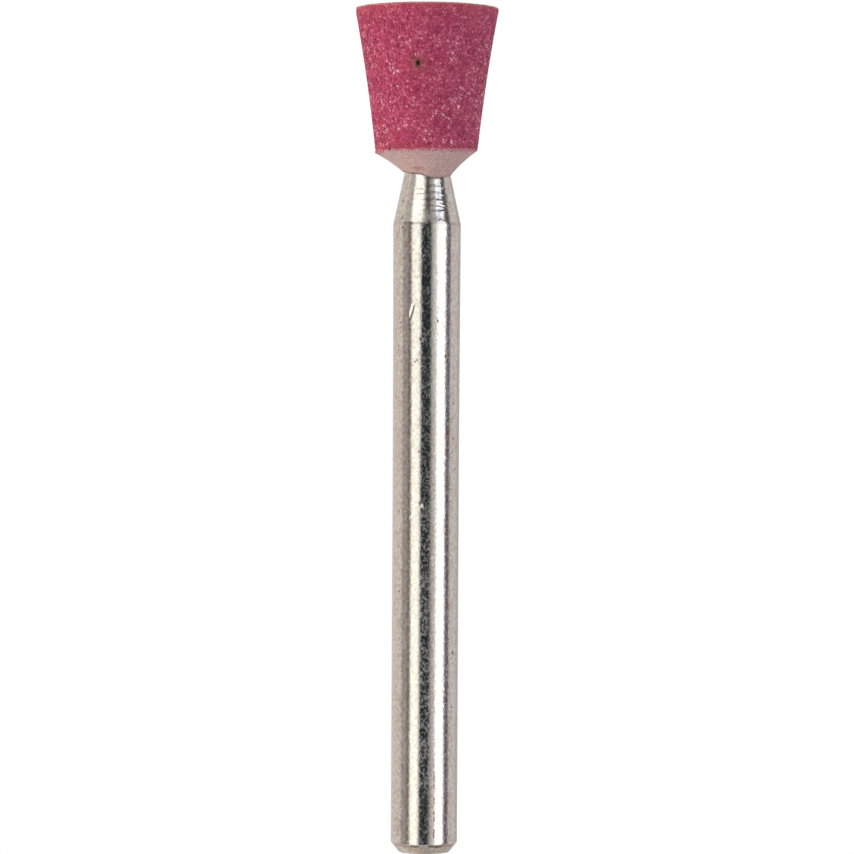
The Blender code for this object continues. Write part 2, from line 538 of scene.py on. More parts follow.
# Turn, and the heights in mm that it runs between
DOTTED_LINE = (17.5, 35.6, 39.7)
SPECKS = [
    # turn, height in mm, width and height in mm
    (35.9, 16.62, 0.12, 0.12),
    (35.6, 16.42, 0.05, 0.07),
    (-33.4, 13.89, 0.08, 0.09),
    (-9.7, 23.61, 0.10, 0.10),
    (56.0, 30.78, 0.11, 0.13),
    (55.0, 18.89, 0.07, 0.09),
    (55.6, 20.57, 0.07, 0.09),
    (60.9, 22.00, 0.08, 0.09),
    (-53.1, 24.01, 0.07, 0.07),
    (-51.0, 27.85, 0.08, 0.09),
    (53.8, 33.35, 0.11, 0.06),
    (-29.2, 34.97, 0.08, 0.08),
    (-12.0, 21.18, 0.05, 0.09),
    (-50.5, 15.03, 0.07, 0.08),
    (-55.9, 16.14, 0.07, 0.08),
    (-45.8, 10.53, 0.12, 0.12),
    (-50.0, 10.07, 0.11, 0.11),
    (-54.5, 9.26, 0.08, 0.10),
    (-19.5, 16.90, 0.10, 0.05),
    (-16.0, 16.84, 0.07, 0.05),
    (18.8, 14.98, 0.07, 0.12),
    (-34.5, 14.02, 0.05, 0.10),
    (18.0, 14.85, 0.05, 0.06),
]
PALE_SPECKS = [
    # turn, height in mm, width and height in mm
    (-6.6, 23.76, 0.09, 0.15),
    (-27.6, 24.30, 0.05, 0.09),
    (15.7, 24.58, 0.05, 0.09),
    (14.8, 23.70, 0.04, 0.13),
    (12.0, 26.22, 0.09, 0.12),
    (14.0, 26.55, 0.06, 0.14),
    (-6.7, 15.93, 0.06, 0.05),
    (-6.0, 17.12, 0.05, 0.06),
    (35.0, 17.33, 0.05, 0.05),
]
EDGE_SMEARS = [
    # turn, height in mm, width and height in mm
    (-17.5, 39.99, 0.38, 0.095),
    (14.0, 39.98, 0.30, 0.085),
    (27.0, 40.00, 0.40, 0.11),
]


def mark_spots(place, spots):
    """One mask for a list of (turn, height, width, height) specks on the shank."""
    mask = None
    for turn, height, width, tall in spots:
        radius = min(SHANK_RADIUS, neck_radius(height * MM))
        one = spot_at(place, turn, height * MM, radius, (width, width, tall))
        mask = mask.most(one) if mask else one
    return mask


def steel_material():
    """Turned steel, a little warm: rippled, with matt pits, pale dust, mottling, freckles, specks and a
    painted highlight.
    """
    material, place = new_material("bright_steel")
    x, y, z = apart(place)
    on_shank = spread(z, 9.6, 10.4, 0.3, 1.0)
    soiled = spread(x.size(), 0.75, 1.1, 0.3, 1.0)
    cloud = grain_noise(place, 1.6, detail=4, roughness=0.6, stretch=(1, 1, 0.5), shift=(4, 1, 2))
    ripple = grain_noise(place, 4.5, detail=2)
    fine = grain_noise(place, 10.0, detail=2)
    mottle = grain_noise(place, 6.0, detail=3, roughness=0.65, shift=(8, 2, 5))
    cool = noise_mask(place, 3.0, 0.48, 0.68, detail=3, roughness=0.6, stretch=(1, 1, 0.6), shift=(2, 8, 8))
    pits = noise_mask(place, 8.0, 0.42, 0.68, detail=3, stretch=(1, 1, 0.7), shift=(1, 6, 2)) * on_shank
    flecks = noise_mask(place, 8.0, 0.5, 0.68, detail=3, roughness=0.6, stretch=(1, 1, 0.45), shift=(4, 9, 9))
    freckles = noise_mask(place, 6.5, 0.64, 0.73, detail=3, shift=(9, 3, 7))
    dust = steel_dust(place, x, z)
    specks = mark_spots(ragged(place, 9.0, 0.12), SPECKS)
    grit = mark_spots(ragged(place, 9.0, 0.10), PALE_SPECKS)
    # Painted highlight: the steel is lighter and even in a band on the +X side, where the warm panel shows in
    # it
    highlight_band = spread((x - 0.5).size(), 0.4, 0.22) * spread(z, 12.0, 39.5, 0.0, 0.6)
    pale = spread((x + 0.33).size(), 0.22, 0.10) * spread(z, 24.0, 12.0, 0.0, 0.7)
    on_left = spread((x - 0.45).size(), 0.5, 0.3, 0.28, 0.8)
    tone = layered(
        blend(spread(mottle, 0.34, 0.66), (0.455, 0.388, 0.328), (0.61, 0.552, 0.492)),
        (highlight_band, (0.61, 0.55, 0.485)),
        (pale, (0.71, 0.665, 0.605)),
        (spread(mottle, 0.50, 0.36) * soiled * 0.5, (0.37, 0.29, 0.235)),
        (flecks * soiled * 0.5, (0.36, 0.27, 0.215)),
        (cool * 0.5, (0.535, 0.485, 0.475)),
        (spread(cloud, 0.50, 0.74) * 0.5 * soiled, (0.47, 0.375, 0.31)),
        (freckles * 0.6 * soiled, (0.24, 0.16, 0.11)),
        (dust * 0.45, (0.50, 0.53, 0.55)),
        (specks * 0.9, (0.10, 0.065, 0.045)),
        (grit * 0.9, (0.80, 0.80, 0.78)),
        # Painted shade in the crease at the shoulder, strongest on the +X side
        (shoulder_line(place, z) * on_left, (0.22, 0.17, 0.14)),
        (chamfer_patches(place, z), (0.40, 0.29, 0.215)),
        (edge_stain(place, x, y, z), (0.17, 0.11, 0.085)),
        (dotted_line(place, x, y, z) * 0.9, (0.13, 0.07, 0.05)),
    )
    rubbed = spot_at(ragged(place, 5.0, 0.25), -1.5, 10.02 * MM, SHANK_RADIUS, (0.27, 0.5, 0.62))
    scuffed = on_shank.most(spread(x, -0.1, -0.45, 0.3, 1.25))
    height = (ripple * 0.6 + fine - freckles * 0.3) * scuffed - specks * 0.3
    finish_material(
        place.tree,
        Base_Color=tone,
        Metallic=1.0 - (dust * 0.3).most(grit).most(specks * 0.8),
        Roughness=0.06 + 0.16 * pits + 0.02 * cloud + 0.25 * specks + 0.2 * rubbed,
        Normal=bumped(height, 0.0036),
    )
    return material


def steel_dust(place, x, z):
    """Pale dust on the steel, in clusters, with more where the shank is held and less on its left side."""
    dusty = grain_noise(place, 7.5, detail=3, roughness=0.7, stretch=(1, 1, 0.85), shift=(7, 7, 2))
    dusty = dusty + (grain_noise(place, 0.8, detail=2, shift=(9, 1, 1)) - 0.5) * 0.3
    dusty = dusty + (grain_noise(place, 3.2, detail=2, stretch=(1, 1, 0.7), shift=(4, 4, 1)) - 0.5) * 0.34
    held = spread(z, 22.5, 26.0) * spread(z, 38.5, 36.5) * spread((x - 0.02).size(), 0.34, 0.24)
    dust = spread(dusty + held * 0.03, 0.45, 0.68) * spread(x, 0.24, 0.42, 1.0, 0.4)
    return dust * (1.0 + held * 0.6)


def shoulder_line(place, z):
    """A thin dark line of painted shade in the crease where the taper begins."""
    wander = (grain_noise(place, 3.0, detail=2, shift=(6, 6, 1)) - 0.5) * 0.05
    broken = spread(grain_noise(place, 1.4, detail=2, shift=(1, 9, 9)), 0.30, 0.50, 0.65, 1.0)
    return spread((z + wander - SHOULDER_HEIGHT / MM - 0.04).size(), 0.10, 0.03) * broken


def edge_stain(place, x, y, z):
    """Brown in a broken line along each edge of the end's chamfer."""
    edge = (SHANK_END - END_CHAMFER_HEIGHT) / MM
    off_flat = spread((x * x + y * y) ** 0.5, 0.95, 1.15)
    wander = grain_noise(place, 5.0, detail=2, shift=(3, 3, 3))
    along = spread((z + (wander - 0.5) * 0.18 - edge - 0.075).size(), 0.085, 0.03)
    along = along * noise_mask(place, 1.7, 0.36, 0.52, shift=(7, 1, 5))
    last = spread((z - SHANK_END / MM).size(), 0.06, 0.02) * off_flat
    last = last * noise_mask(place, 3.0, 0.44, 0.54, shift=(5, 5, 2))
    smears = mark_spots(ragged(place, 6.0, 0.16), EDGE_SMEARS)
    return (along * 0.5).most(last * 0.7).most(smears * 0.92)


def chamfer_patches(place, z):
    """Brown in patches on the end's chamfer, fainter on its flat."""
    edge = (SHANK_END - END_CHAMFER_HEIGHT) / MM
    patches = noise_mask(place, 3.4, 0.38, 0.60, detail=4, roughness=0.7, shift=(2, 9, 4))
    on_flat = spread(z, SHANK_END / MM - 0.04, SHANK_END / MM - 0.015, 1.0, 0.35)
    return patches * on_flat * spread(z, edge + 0.02, edge + 0.08, 0.0, 0.75)


def dotted_line(place, x, y, z):
    """A line of brown dots along the shank, near its end."""
    turn, low, high = DOTTED_LINE
    across = turned_point(turn, 0, SHANK_RADIUS / MM).x
    beads = noise_mask(place, 4.0, 0.43, 0.54, detail=2, stretch=(0.3, 0.3, 1), shift=(6, 4, 1))
    near_side = spread(y, 0.0, -0.5)
    reach = spread(z, low, low + 1.5) * spread(z, high, high - 0.1)
    return spread((x - across).size(), 0.042, 0.015) * beads * near_side * reach


# Cement


EDGE_RISES = [
    # turn, rise in mm
    (-180, 0.02), (-135, -0.08), (-90, -0.18), (-34, -0.05), (-22, -0.02), (0, 0.09), (18, 0.16),
    (36, 0.14), (62, 0.06), (90, -0.09), (135, -0.05), (180, 0.02),
]
LIP = 0.06 * MM
LIP_DROP = 0.015 * MM
COLLAR_HOLLOW = 0.07 * MM
COLLAR_EDGE = 0.02 * MM
COARSE_LUMPS = 0.016 * MM
FINE_LUMPS = 0.006 * MM

# How the line between stone and cement sags, bends and tilts across the photograph
FOOT_BAND = 0.10 * MM
FOOT_DROP = 0.03 * MM
FOOT_BEND = 0.045 * MM
FOOT_TILT = 0.025 * MM


def edge_rise(turn):
    """How far the cement's free edge runs on up the neck at a turn."""
    for (start, low), (end, high) in zip(EDGE_RISES, EDGE_RISES[1:]):
        if start <= turn <= end:
            share = (1 - math.cos(math.pi * (turn - start) / (end - start))) / 2
            ripple = noise.noise(turned_point(turn, 0, 6)) * 0.02
            return (low + (high - low) * share + ripple) * MM
    return 0.0


def foot_drop(x):
    """How far the edge between stone and cement lies below its height in the frame, most on one side."""
    share = x / FOOT_HALF_WIDTH
    return FOOT_DROP + FOOT_BEND * share**2 - FOOT_TILT * share


def wear_cement(vert, rise):
    """Makes the collar's skin and free edge uneven, and keeps how far up it a point is as its rise."""
    height = vert.co.z
    radius = vert.co.xy.length
    turn = turn_of(vert.co)
    share = (height - SEAT_HEIGHT - COLLAR_EDGE) / (COLLAR_TOP - SEAT_HEIGHT - COLLAR_EDGE)
    share = max(0.0, min(1.0, share))
    vert[rise] = share
    at = vert.co / MM
    lumps = COARSE_LUMPS * noise.noise(at * 2.2) + FINE_LUMPS * noise.noise(at * 7)
    band = FOOT_BAND * (1 + vert.co.x / radius) / 2
    lowered = foot_drop(vert.co.x) * (1 - share)
    moved = Vector((0, 0, height + edge_rise(turn) * share**2 + band * (1 - share) ** 3 - lowered))
    gap_side = neck_radius(height) + BOND_GAP * 2 > radius
    grow = 0 if gap_side else lumps * min(1.0, 4 * (radius - SPIGOT_RADIUS) / SPIGOT_RADIUS)
    out = vert.co.xy.normalized()
    follow = (neck_radius(moved.z) - neck_radius(height)) * share
    moved.xy = out * (radius + grow + follow)
    if not gap_side:
        moved.x += LEAN_OUT * (1 - share)
    vert.co = moved


def make_cement(material):
    """The cast collar, its free edge wavy, on the node's own sleeve round the spigot."""
    mesh = node_copy("cement_collar")
    rise = mesh.verts.layers.float.new("rise")
    inner = SPIGOT_RADIUS + BOND_GAP
    cut_away(mesh, lambda at: at.z > SEAT_HEIGHT + WELD or at.xy.length > SLEEVE_RADIUS + WELD * 5)
    inner_ring = ring_at(mesh, inner, HEAD_TOP)
    outer_ring = ring_at(mesh, SLEEVE_RADIUS, SEAT_HEIGHT)
    ready = set(mesh.verts)
    count = FINE_POINTS
    lip_radius = neck_radius(COLLAR_TOP) + BOND_GAP
    foot = (COLLAR_RADIUS, SEAT_HEIGHT + COLLAR_EDGE)
    lip = (lip_radius + LIP, COLLAR_TOP - LIP_DROP)
    low = (inner + 0.02 * MM, HEAD_TOP + 0.1 * MM)
    high = (lip_radius, COLLAR_TOP - 0.02 * MM)
    rings = [
        *line(low, high, 0.1 * MM, count),
        (*high, count),
        (lip_radius + LIP * 0.3, COLLAR_TOP, count),
        (lip_radius + LIP * 0.7, COLLAR_TOP, count),
    ]
    slope = math.atan2(lip[1] - foot[1], foot[0] - lip[0])
    for share in steps(0, 1, 0.025):
        radius = lip[0] + (foot[0] - lip[0]) * share
        height = lip[1] + (foot[1] - lip[1]) * share
        sink = 4 * COLLAR_HOLLOW * share * (1 - share)
        rings.append((radius - sink * math.sin(slope), height - sink * math.cos(slope), count))
    rings += [
        (foot[0], HEAD_TOP + 0.003 * MM, count),
        *line((foot[0] - 0.1 * MM, SEAT_HEIGHT), (SLEEVE_RADIUS + 0.1 * MM, SEAT_HEIGHT), 0.3 * MM, count),
    ]
    turned(mesh, rings, first=inner_ring, last=outer_ring)
    for vert in mesh.verts:
        radius = vert.co.xy.length
        if vert not in ready and vert.co.z > SEAT_HEIGHT + WELD:
            wear_cement(vert, rise)
        elif radius > COLLAR_RADIUS - 0.2 * MM:
            vert.co.z -= foot_drop(vert.co.x) * (1 if radius > COLLAR_RADIUS - WELD else 0.9)
            vert.co.x += LEAN_OUT
    keep_piece(place_mesh("cement", mesh, material), "pale_cement", "cement_collar")


def foot_line(place, z):
    """How far above the ragged line between the pink stone and the pale cement a place is, in millimetres."""
    near_side = spread(apart(place)[1], -0.8, -2.3, 0.0, 0.06)
    ragged_line = (grain_noise(place, 6.5, detail=4, roughness=0.7, shift=(1, 2, 8)) - 0.5) * 0.75
    return z - HEAD_TOP / MM + ragged_line - near_side


def cement_material():
    """Pale, slightly pink cement, fine grained, stained where the head's dust or rust has run; painted shade
    at its edge.
    """
    material, place = new_material("pale_cement")
    tree = place.tree
    x, _, z = apart(place)
    cloud = grain_noise(place, 1.3, detail=3, shift=(3, 8, 1))
    fine = grain_noise(place, 8.0, detail=4, roughness=0.65)
    grit = grain_noise(place, 14.0, detail=2, shift=(2, 2, 9))
    mottle = noise_mask(place, 5.0, 0.5, 0.68, detail=3, roughness=0.6, shift=(5, 5, 5))
    dark = spread(grit, 0.66, 0.74)
    uneven = ragged(place, 6.0, 0.26)
    stain = spot_at(uneven, -18.5, 7.71 * MM, 1.36 * MM, (0.50, 0.3, 0.14))
    smear = spot_at(uneven, 12.0, 7.83 * MM, 1.3 * MM, (0.5, 0.3, 0.2))
    left_only = spot(uneven, (2.45, -0.4, 6.9), (0.7, 1.8, 0.5))
    spill = spread(foot_line(place, z) - left_only * 0.14, 0.10, -0.04)
    pale = ramp(
        spread(fine, 0.25, 0.75),
        (0.0, (0.41, 0.245, 0.225)),
        (0.5, (0.50, 0.32, 0.30)),
        (1.0, (0.625, 0.465, 0.43)),
    )
    pink = ramp(
        spread(fine + (grit - 0.5) * 0.5, 0.3, 0.7),
        (0.0, (0.30, 0.03, 0.07)),
        (0.55, (0.48, 0.09, 0.15)),
        (1.0, (0.66, 0.24, 0.31)),
    )
    rise = make(tree, "ShaderNodeAttribute", {"attribute_name": "rise"}, None, out=2)
    tone = layered(
        pale,
        (spread(cloud, 0.42, 0.7) * 0.6, (0.54, 0.32, 0.305)),
        (mottle * 0.5, (0.49, 0.35, 0.355)),
        (stain * 0.6, (0.33, 0.12, 0.09)),
        (smear * 0.35, (0.38, 0.20, 0.17)),
        (spill * 0.9, pink),
        (dark * 0.45, (0.24, 0.14, 0.11)),
        # Painted shade: darker along the cement's free edge on the neck, more on the +X side
        (spread(rise, 0.90, 0.97) * spread(x, -0.1, 0.25, 0.25, 0.6), (0.19, 0.12, 0.10)),
    )
    finish_material(
        tree,
        Base_Color=foot_speck(place, tone),
        Roughness=0.85 + 0.1 * cloud,
        Normal=bumped(fine * 0.7 + grit * 0.5 - dark * 0.6, 0.02),
        IOR=1.45,
    )
    return material


# Abrasive head


STONE_PITCH = 0.06 * MM
RIM_RADIUS = 0.06 * MM
RIM_HALF_WIDTH = 3.428 * MM
FOOT_HALF_WIDTH = 2.435 * MM
SIDE_HOLLOW = 0.07 * MM

# How far the head stands to one side of the shank, and how far its rim may reach there
LEAN_OUT = 0.05 * MM
LAND_LIMIT = 3.43 * MM

# The stone's skin, its grains, and how far they may stand proud
SKIN = {"Patch Size": 0.17 * MM, "Patch Depth": 0.036 * MM, "Pit Depth": 0.028 * MM}
GRAINS = {"Grain Size": 0.15 * MM, "Density": 2.5e8, "Seed": 7}
GRAIN_ALLOWANCE = 0.016 * MM

# Turn and height in mm of the iron spot, and the dark speck's place in mm on the foot's edge
IRON_SPOT = (-9.0, 2.83)
IRON_PIT_RADIUS = 0.15 * MM
IRON_PIT_DEPTH = 0.09 * MM
FOOT_SPECK = (1.76, -1.69, 6.83)

# How far below the foot the side still follows the foot's sag
SAG_REACH = 0.8 * MM

# Zones of the flat face: outer and inner radius, and the share of the side's points that their rings have
FACE_ZONES = [
    (RIM_HALF_WIDTH - RIM_RADIUS, 1.8 * MM, 1),
    (1.74 * MM, 0.9 * MM, 2),
    (0.84 * MM, 0.45 * MM, 4),
    (0.39 * MM, 0.09 * MM, 8),
]


def side_radius(height):
    """Radius of the head's sloping, slightly hollow side at a height."""
    share = height / HEAD_TOP
    straight = RIM_HALF_WIDTH + (FOOT_HALF_WIDTH - RIM_HALF_WIDTH) * share
    return straight - SIDE_HOLLOW * 4 * share * (1 - share)


def stone_mesh():
    """The head before its grain: side, rim, face and blind bore, with a mask of the side and face."""
    mesh = bmesh.new()
    count = STONE_POINTS
    heights = steps(HEAD_TOP, RIM_RADIUS * 1.8, STONE_PITCH) + [RIM_RADIUS]
    rings = [
        (0, BORE_BOTTOM, 1),
        (BORE_RADIUS * 0.5, BORE_BOTTOM + BORE_CHAMFER / 2, count // 6),
        (BORE_RADIUS, BORE_BOTTOM + BORE_CHAMFER, count // 3),
        (BORE_RADIUS, HEAD_TOP - 0.5 * MM, count // 3),
        (BORE_RADIUS, HEAD_TOP, count // 3),
        (BORE_RADIUS + 0.6 * MM, HEAD_TOP, count // 3),
        *line((FOOT_HALF_WIDTH - 0.3 * MM, HEAD_TOP), (FOOT_HALF_WIDTH, HEAD_TOP), 0.1 * MM, count),
        *[(side_radius(height), height, count) for height in heights],
        (RIM_HALF_WIDTH - RIM_RADIUS * 0.12, RIM_RADIUS * 0.4, count),
        (RIM_HALF_WIDTH - RIM_RADIUS * 0.4, RIM_RADIUS * 0.12, count),
    ]
    for outer, inner, share in FACE_ZONES:
        rings += [(radius, 0, count // share) for radius in steps(outer, inner, STONE_PITCH)]
    rings.append((0, 0, 1))
    turned(mesh, rings)
    bmesh.ops.recalc_face_normals(mesh, faces=mesh.faces)
    relief = mesh.verts.layers.float.new("relief")
    for vert in mesh.verts:
        height = vert.co.z
        radius = vert.co.xy.length
        if height > HEAD_TOP - WELD and radius > BORE_RADIUS + WELD:
            vert.co.z -= foot_drop(vert.co.x) * min(1.0, (radius - BORE_RADIUS) / MM)
        elif height > HEAD_TOP - SAG_REACH and radius > BORE_RADIUS + WELD:
            vert.co.z -= foot_drop(vert.co.x) * (height - HEAD_TOP + SAG_REACH) / SAG_REACH
        on_side = radius > side_radius(height) - 0.01 * MM
        on_face = height < 0.02 * MM
        vert[relief] = 1.0 if on_side and height < HEAD_TOP - WELD else 0.7 if on_face else 0.0
        if on_side or on_face:
            vert.co.x += LEAN_OUT * min(1.0, radius / (2 * MM))
            vert.co.x = min(vert.co.x, LAND_LIMIT)
            if press_pit(vert):
                vert[relief] = 0.0
    return mesh


def iron_spot():
    """The middle of the iron spot, on the head's side."""
    turn, height = IRON_SPOT
    return turned_point(turn, height * MM, side_radius(height * MM))


def press_pit(vert):
    """Presses the pit of the iron spot into the head's side, and tells whether a point is in or near it."""
    away = (vert.co - iron_spot()).length / IRON_PIT_RADIUS
    if away < 1:
        vert.co.xy *= 1 - IRON_PIT_DEPTH * (1 - away**2) / vert.co.xy.length
    return away < 1.2


def new_tree(name, inputs):
    """A geometry tree with named number inputs; returns the tree, and its geometry and inputs by name."""
    tree = bpy.data.node_groups.new(name, "GeometryNodeTree")
    tree.interface.new_socket("Geometry", in_out="INPUT", socket_type="NodeSocketGeometry")
    tree.interface.new_socket("Geometry", in_out="OUTPUT", socket_type="NodeSocketGeometry")
    for label, kind in inputs.items():
        tree.interface.new_socket(label, in_out="INPUT", socket_type=kind)
    group = tree.nodes.new("NodeGroupInput")
    values = {socket.name: Value(tree, socket) for socket in group.outputs if socket.name}
    return tree, values


def apply_tree(made, tree, values):
    """Runs a geometry tree on an object and keeps the result as its plain mesh."""
    modifier = made.modifiers.new(tree.name, "NODES")
    modifier.node_group = tree
    for item in tree.interface.items_tree:
        if item.in_out == "INPUT" and item.name in values:
            modifier[item.identifier] = values[item.name]
    graph = bpy.context.evaluated_depsgraph_get()
    result = bpy.data.meshes.new_from_object(
        made.evaluated_get(graph), preserve_all_data_layers=True, depsgraph=graph
    )
    made.modifiers.remove(modifier)
    made.data = result


def relief_mask(tree):
    """How much of the skin's unevenness each point of the stone gets, as stone_mesh keeps it."""
    return make(tree, "GeometryNodeInputNamedAttribute", {"data_type": "FLOAT"}, {"Name": "relief"})


def dressed(tree, geometry, allowance):
    """Cuts what stands proud back to the head's cone and face, as a dressing tool leaves it."""
    place = make(tree, "GeometryNodeInputPosition")
    x, y, z = apart(place)
    z = z.most(0.0)
    x = x - LEAN_OUT
    around = (x * x + y * y) ** 0.5
    share = z / HEAD_TOP
    limit = RIM_HALF_WIDTH + allowance - share * (RIM_HALF_WIDTH - FOOT_HALF_WIDTH)
    limit = limit - share * (1.0 - share) * (4 * SIDE_HOLLOW)
    keep = (limit / around.most(1e-6)).least(1.0)
    across = (x * keep + LEAN_OUT).least(LAND_LIMIT + allowance)
    place = make(tree, "ShaderNodeCombineXYZ", None, {0: across, 1: y * keep, 2: z})
    return make(tree, "GeometryNodeSetPosition", None, {"Geometry": geometry, "Position": place})


def skin_tree():
    """The stone's own skin: pitted and uneven, each grain's patch at its own level."""
    tree, inputs = new_tree("stone_skin", dict.fromkeys(SKIN, "NodeSocketFloat"))
    place = make(tree, "GeometryNodeInputPosition")
    cell = scaled(place, 1 / inputs["Patch Size"])
    levels = make(tree, "ShaderNodeTexVoronoi", None, {"Vector": cell, "Scale": 1.0}, out=1)
    level = apart(levels)[0]
    pits = make(tree, "ShaderNodeTexNoise", None, {"Vector": cell, "Scale": 0.55, "Detail": 3.0})
    pit = spread(pits, 0.56, 0.74)
    depth = (level * inputs["Patch Depth"] + pit * inputs["Pit Depth"]) * relief_mask(tree)
    normal = make(tree, "GeometryNodeInputNormal")
    offset = scaled(normal, depth * -1.0)
    moved = make(tree, "GeometryNodeSetPosition", None, {"Geometry": inputs["Geometry"], "Offset": offset})
    make(tree, "NodeGroupOutput", None, {0: moved})
    return tree


def seed_grain():
    """One angular grain, about a unit in size: the hull of a few points."""
    mesh = bmesh.new()
    corners = [
        (0.5, 0.1, 0.1), (-0.45, 0.2, -0.1), (0.1, 0.5, 0.0), (0.0, -0.5, 0.15),
        (0.15, 0.1, 0.5), (-0.1, -0.15, -0.5), (0.35, -0.3, -0.2), (-0.3, -0.3, 0.25),
    ]
    for corner in corners:
        mesh.verts.new(corner)
    bmesh.ops.convex_hull(mesh, input=mesh.verts)
    return add_mesh("grain", mesh)


def scatter_tree(grain, material):
    """Angular grains set in the stone's side and face, each with its own tint, and dressed flush."""
    tree, inputs = new_tree(
        "abrasive_grains",
        {"Grain Size": "NodeSocketFloat", "Density": "NodeSocketFloat", "Seed": "NodeSocketInt"},
    )
    seed = inputs["Seed"]
    place = make(
        tree,
        "GeometryNodeDistributePointsOnFaces",
        {"distribute_method": "POISSON"},
        {
            "Mesh": inputs["Geometry"],
            "Distance Min": inputs["Grain Size"] * 0.8,
            "Density Max": inputs["Density"],
            "Density Factor": relief_mask(tree) > 0.5,
            "Seed": seed,
        },
    )
    tint = random_number(tree, 0.0, 1.0, seed, 1)
    place = make(
        tree, "GeometryNodeStoreNamedAttribute", {"data_type": "FLOAT", "domain": "POINT"},
        {"Geometry": place, "Name": "tint", "Value": tint},
    )
    turns = [random_number(tree, 0.0, 2 * math.pi, seed, 2 + axis) for axis in range(3)]
    turn = make(tree, "ShaderNodeCombineXYZ", None, dict(enumerate(turns)))
    sizes = [random_number(tree, 0.7, 1.5, seed, 5 + axis) * inputs["Grain Size"] for axis in range(3)]
    size = make(tree, "ShaderNodeCombineXYZ", None, dict(enumerate(sizes)))
    shape = make(tree, "GeometryNodeObjectInfo", None, {"Object": grain}, out=4)
    spread_out = make(
        tree, "GeometryNodeInstanceOnPoints", None,
        {"Points": place, "Instance": shape, "Rotation": turn, "Scale": size},
    )
    solid = make(tree, "GeometryNodeRealizeInstances", None, {0: spread_out})
    flush = dressed(tree, solid, GRAIN_ALLOWANCE)
    coated = make(tree, "GeometryNodeSetMaterial", None, {"Geometry": flush, "Material": material})
    make(tree, "NodeGroupOutput", None, {0: coated})
    return tree


def random_number(tree, low, high, seed, turn):
    """A random number for each point; the turn keeps one draw apart from the next."""
    sockets = {2: low, 3: high, "ID": make(tree, "GeometryNodeInputIndex"), "Seed": seed * 31 + turn}
    return make(tree, "FunctionNodeRandomValue", {"data_type": "FLOAT"}, sockets, out=1)


def make_stone(skin, grains):
    """The head: its pitted stone and the grains that stand in it."""
    stone = place_mesh("stone", stone_mesh(), skin)
    apply_tree(stone, skin_tree(), SKIN)
    scattered = add_object("grains", stone.data.copy())
    grain = seed_grain()
    apply_tree(scattered, scatter_tree(grain, grains), GRAINS)
    bpy.data.objects.remove(grain)
    keep_piece(stone, "pink_abrasive", "grinding_head")
    keep_piece(scattered, "pink_abrasive")


def pink_tone(place, share):
    """The colour of a grain or patch for a share from 0, darkest, to 1, with painted shade near the foot."""
    z = apart(place)[2]
    cloud = grain_noise(place, 0.8, detail=3, shift=(5, 1, 3))
    deep = noise_mask(place, 1.1, 0.46, 0.64, detail=3, roughness=0.6, stretch=(1, 1, 1.5), shift=(1, 7, 7))
    tone = ramp(
        share,
        (0.0, (0.23, 0.015, 0.046)),
        (0.2, (0.385, 0.034, 0.092)),
        (0.5, (0.505, 0.060, 0.142)),
        (0.7, (0.59, 0.108, 0.20)),
        (0.84, (0.68, 0.21, 0.305)),
        (0.94, (0.745, 0.33, 0.42)),
        (0.98, (0.78, 0.42, 0.51)),
        # The top stop, nearly white, is for the white grains and their painted glints
        (1.0, (0.86, 0.64, 0.73)),
    )
    tone = layered(
        tone,
        (spread(cloud, 0.48, 0.7) * 0.25, (0.55, 0.078, 0.115)),
        (deep * 0.45, (0.41, 0.026, 0.11)),
        (spread(z, 0.55, 0.15) * 0.3, (0.60, 0.10, 0.125)),
        # Painted shade: darker in the last half millimetre of the side, where the stone meets the cement
        (spread(z + cloud * 0.5, 6.6, 7.0) * 0.35, (0.42, 0.05, 0.075)),
        (spread(foot_line(place, z), -0.05, 0.08) * 0.75, (0.53, 0.30, 0.28)),
        (spread(z, 0.12, 0.03) * 0.55, (0.72, 0.36, 0.27)),
    )
    return halo(place, foot_speck(place, tone))


def foot_speck(place, tone):
    """Puts a dark speck in a tone, on the edge between the stone and the cement."""
    speck = spot(ragged(place, 9.0, 0.08), FOOT_SPECK, (0.12, 0.14, 0.12))
    return blend(speck * 0.9, tone, (0.05, 0.025, 0.03))


def halo(place, tone):
    """Darkens a tone round the iron spot, green-brown and then near black."""
    point = tuple(iron_spot() / MM)
    return layered(
        tone,
        (spot(ragged(place, 3.5, 0.42), point, (0.58, 0.6, 0.66)) * 0.45, (0.30, 0.075, 0.05)),
        (spot(ragged(place, 7.0, 0.22), point, (0.24, 0.3, 0.30)) * 0.65, (0.085, 0.055, 0.035)),
        (spot(ragged(place, 9.0, 0.06), point, (0.125, 0.3, 0.19)), (0.006, 0.007, 0.008)),
    )


def stone_material():
    """The bond and the grains' cut faces between the standing grains: deep pink, mottled and matt."""
    material, place = new_material("pink_bond")
    tree = place.tree
    cells = make(tree, "ShaderNodeTexVoronoi", None, {"Vector": place, "Scale": 9.0}, out=1)
    share = apart(cells)[0]
    fine = grain_noise(place, 12.0, detail=3)
    finish_material(
        tree,
        Base_Color=pink_tone(place, (share * 0.65 + fine * 0.3 - 0.05).least(0.9)),
        Roughness=0.85,
        Normal=bumped(fine, 0.015),
        Specular_IOR_Level=0.3,
        Sheen_Weight=0.08,
    )
    return material


